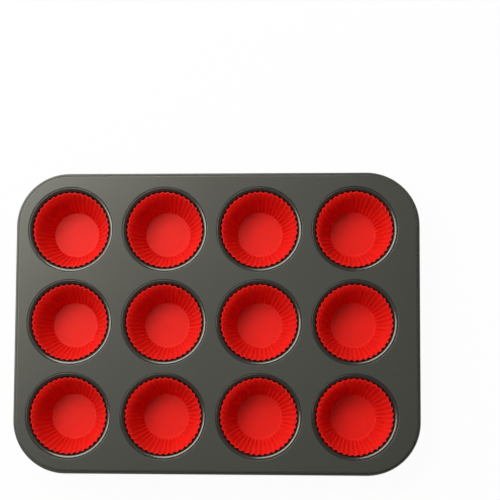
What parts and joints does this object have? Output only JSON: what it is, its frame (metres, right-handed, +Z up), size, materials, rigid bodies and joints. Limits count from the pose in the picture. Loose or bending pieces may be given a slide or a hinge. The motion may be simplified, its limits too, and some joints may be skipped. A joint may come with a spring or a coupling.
{
  "type": "muffin tin",
  "caption": "Rectangular muffin tin in dark coated steel with a wired edge, drawn steel cups seated in its frame and loose fluted red silicone baking cups.",
  "frame": {"origin": "middle of the frame in plan, on the plane that the cups' bases stand on", "axes": "+Z up out of the cups' mouths, +X along the rows of cups (the long side), +Y towards row 1"},
  "size_m": [0.35, 0.261, 0.032],
  "materials": {
    "coated_steel": "dark grey semi-gloss non-stick coating on thin carbon steel",
    "wire_steel": "bare drawn steel wire",
    "silicone": "satin moulded red silicone"
  },
  "bodies": {
    "tin": {"frame": "coated_steel", "rim_wire": "wire_steel", "steel_cup_r1c1": "coated_steel", "steel_cup_r1c2": "coated_steel", "steel_cup_r1c3": "coated_steel", "steel_cup_r1c4": "coated_steel", "steel_cup_r2c1": "coated_steel", "steel_cup_r2c2": "coated_steel", "steel_cup_r2c3": "coated_steel", "steel_cup_r2c4": "coated_steel", "steel_cup_r3c1": "coated_steel", "steel_cup_r3c2": "coated_steel", "steel_cup_r3c3": "coated_steel", "steel_cup_r3c4": "coated_steel"},
    "silicone_cup_r1c1": {"silicone_cup_r1c1": "silicone"},
    "silicone_cup_r1c2": {"silicone_cup_r1c2": "silicone"},
    "silicone_cup_r1c3": {"silicone_cup_r1c3": "silicone"},
    "silicone_cup_r1c4": {"silicone_cup_r1c4": "silicone"},
    "silicone_cup_r2c1": {"silicone_cup_r2c1": "silicone"},
    "silicone_cup_r2c2": {"silicone_cup_r2c2": "silicone"},
    "silicone_cup_r2c3": {"silicone_cup_r2c3": "silicone"},
    "silicone_cup_r2c4": {"silicone_cup_r2c4": "silicone"},
    "silicone_cup_r3c1": {"silicone_cup_r3c1": "silicone"},
    "silicone_cup_r3c2": {"silicone_cup_r3c2": "silicone"},
    "silicone_cup_r3c3": {"silicone_cup_r3c3": "silicone"},
    "silicone_cup_r3c4": {"silicone_cup_r3c4": "silicone"}
  },
  "joints": [
    {"name": "lift_r1c1", "type": "slide", "parent": "tin", "child": "silicone_cup_r1c1", "axis": [0, 0, 1], "range_m": [0, 0.04]},
    {"name": "lift_r1c2", "type": "slide", "parent": "tin", "child": "silicone_cup_r1c2", "axis": [0, 0, 1], "range_m": [0, 0.04]},
    {"name": "lift_r1c3", "type": "slide", "parent": "tin", "child": "silicone_cup_r1c3", "axis": [0, 0, 1], "range_m": [0, 0.04]},
    {"name": "lift_r1c4", "type": "slide", "parent": "tin", "child": "silicone_cup_r1c4", "axis": [0, 0, 1], "range_m": [0, 0.04]},
    {"name": "lift_r2c1", "type": "slide", "parent": "tin", "child": "silicone_cup_r2c1", "axis": [0, 0, 1], "range_m": [0, 0.04]},
    {"name": "lift_r2c2", "type": "slide", "parent": "tin", "child": "silicone_cup_r2c2", "axis": [0, 0, 1], "range_m": [0, 0.04]},
    {"name": "lift_r2c3", "type": "slide", "parent": "tin", "child": "silicone_cup_r2c3", "axis": [0, 0, 1], "range_m": [0, 0.04]},
    {"name": "lift_r2c4", "type": "slide", "parent": "tin", "child": "silicone_cup_r2c4", "axis": [0, 0, 1], "range_m": [0, 0.04]},
    {"name": "lift_r3c1", "type": "slide", "parent": "tin", "child": "silicone_cup_r3c1", "axis": [0, 0, 1], "range_m": [0, 0.04]},
    {"name": "lift_r3c2", "type": "slide", "parent": "tin", "child": "silicone_cup_r3c2", "axis": [0, 0, 1], "range_m": [0, 0.04]},
    {"name": "lift_r3c3", "type": "slide", "parent": "tin", "child": "silicone_cup_r3c3", "axis": [0, 0, 1], "range_m": [0, 0.04]},
    {"name": "lift_r3c4", "type": "slide", "parent": "tin", "child": "silicone_cup_r3c4", "axis": [0, 0, 1], "range_m": [0, 0.04]}
  ]
}
